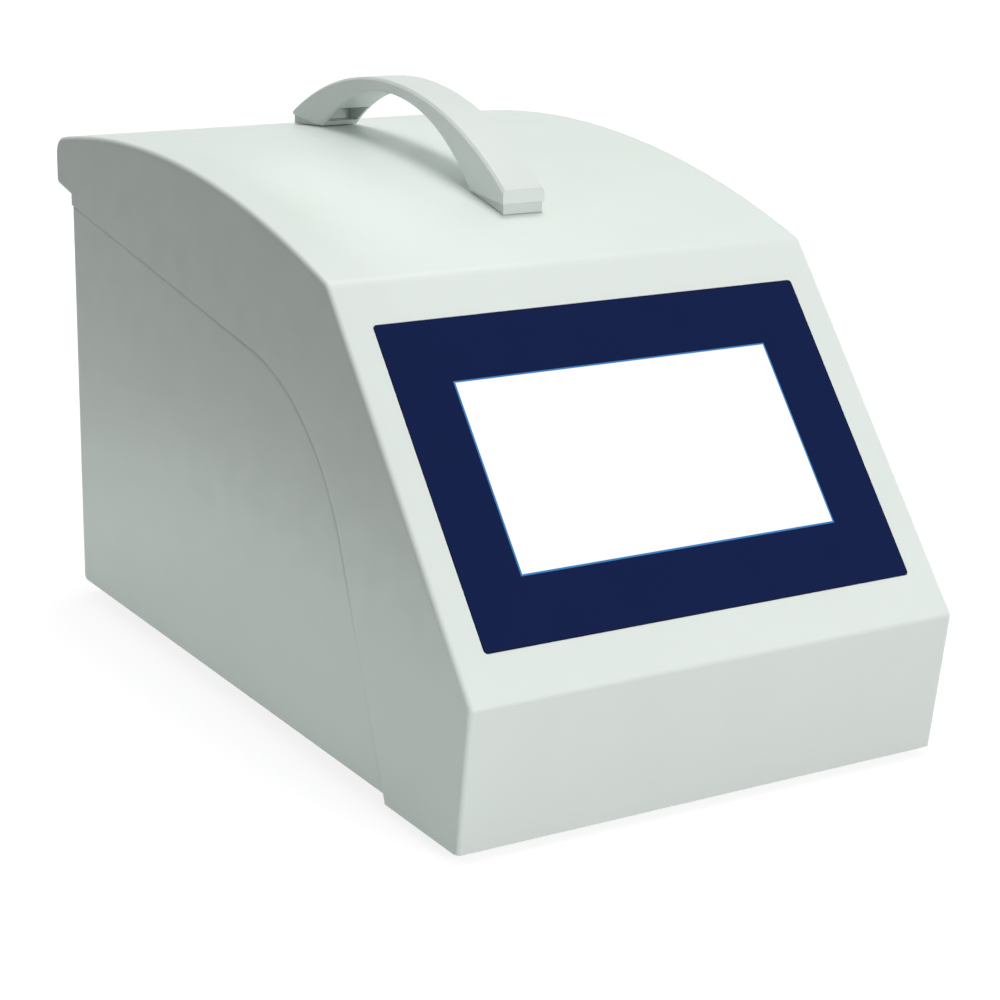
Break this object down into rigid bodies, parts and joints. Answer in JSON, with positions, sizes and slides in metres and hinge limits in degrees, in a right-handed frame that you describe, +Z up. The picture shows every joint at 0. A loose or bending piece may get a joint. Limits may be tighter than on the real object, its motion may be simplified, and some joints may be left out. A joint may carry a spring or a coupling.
{
  "type": "filter integrity tester",
  "caption": "Bench instrument with a sloped touch-screen front, a crowned top with a bow handle, and gas, mains and data connections on a recessed rear panel.",
  "frame": {"origin": "middle of the footprint, on the surface that the feet stand on", "axes": "+Z up, -Y towards the operator at the front, +X to the operator's right"},
  "size_m": [0.236, 0.4044, 0.2665],
  "materials": {
    "case_plastic": "fine-textured off-white moulding",
    "handle_plastic": "smooth off-white moulding",
    "pad_plastic": "satin light grey",
    "bezel_film": "dark navy printed front",
    "screen_glass": "lit white display behind touch glass",
    "black_plastic": "moulded black",
    "foot_rubber": "matt black rubber",
    "panel_metal": "light grey powder coat",
    "bare_steel": "zinc plated sheet",
    "bright_metal": "nickel plated",
    "yellow_brass": "turned brass",
    "block_aluminium": "machined and anodised",
    "board_green": "green solder mask",
    "tube_blue": "polyurethane tube",
    "lead_grey": "insulated wire",
    "fuse_glass": "glass tube"
  },
  "bodies": {
    "case": {"front_cover": "case_plastic", "base_enclosure": "case_plastic", "rear_panel": "panel_metal", "rubber_feet": "foot_rubber", "handle_bow": "handle_plastic", "handle_pads": "pad_plastic", "display_bezel": "bezel_film", "touch_glass": "screen_glass", "lcd_module": "bare_steel", "display_housing": "black_plastic", "display_clamps": "bare_steel", "display_cable": "lead_grey", "mounting_tray": "bare_steel", "power_supply": "bare_steel", "supply_terminals": "black_plastic", "main_board": "board_green", "board_standoffs": "black_plastic", "board_components": "black_plastic", "pneumatic_block": "block_aluminium", "port_elbows": "black_plastic", "tank_stub": "yellow_brass", "valve_bodies": "black_plastic", "pressure_sensors": "black_plastic", "reference_tank": "bare_steel", "tank_cradles": "black_plastic", "gas_inlet_tube": "tube_blue", "gas_outlet_tube": "tube_blue", "vent_tube": "tube_blue", "tank_tube": "tube_blue", "gas_inlet_fitting": "bright_metal", "gas_outlet_coupler": "bright_metal", "vent_muffler": "yellow_brass", "mains_inlet": "black_plastic", "inlet_pins": "bright_metal", "mains_leads": "lead_grey", "fan_frame": "black_plastic", "serial_port": "bright_metal", "serial_posts": "bright_metal", "usb_port": "bright_metal"},
    "release_collet": {"release_collet": "black_plastic"},
    "coupler_sleeve": {"coupler_sleeve": "bright_metal"},
    "fuse_drawer": {"fuse_drawer": "black_plastic", "fuses": "fuse_glass"},
    "power_rocker": {"power_rocker": "black_plastic"},
    "fan_rotor": {"fan_rotor": "black_plastic"}
  },
  "joints": [
    {"name": "fan_spin", "type": "hinge", "parent": "case", "child": "fan_rotor", "pos_m": [-0.052, 0.17, 0.142], "axis": [0, 1, 0], "continuous": true},
    {"name": "power_rocker_tilt", "type": "hinge", "parent": "case", "child": "power_rocker", "pos_m": [-0.065, 0.18125, 0.08], "axis": [1, 0, 0], "range_deg": [0, 14]},
    {"name": "fuse_drawer_slide", "type": "slide", "parent": "case", "child": "fuse_drawer", "axis": [0, 1, 0], "range_m": [0, 0.018]},
    {"name": "collet_press", "type": "slide", "parent": "case", "child": "release_collet", "axis": [0, -1, 0], "range_m": [0, 0.0015], "stiffness_N_per_m": 200},
    {"name": "coupler_sleeve_slide", "type": "slide", "parent": "case", "child": "coupler_sleeve", "axis": [0, -1, 0], "range_m": [0, 0.0025], "stiffness_N_per_m": 400}
  ]
}
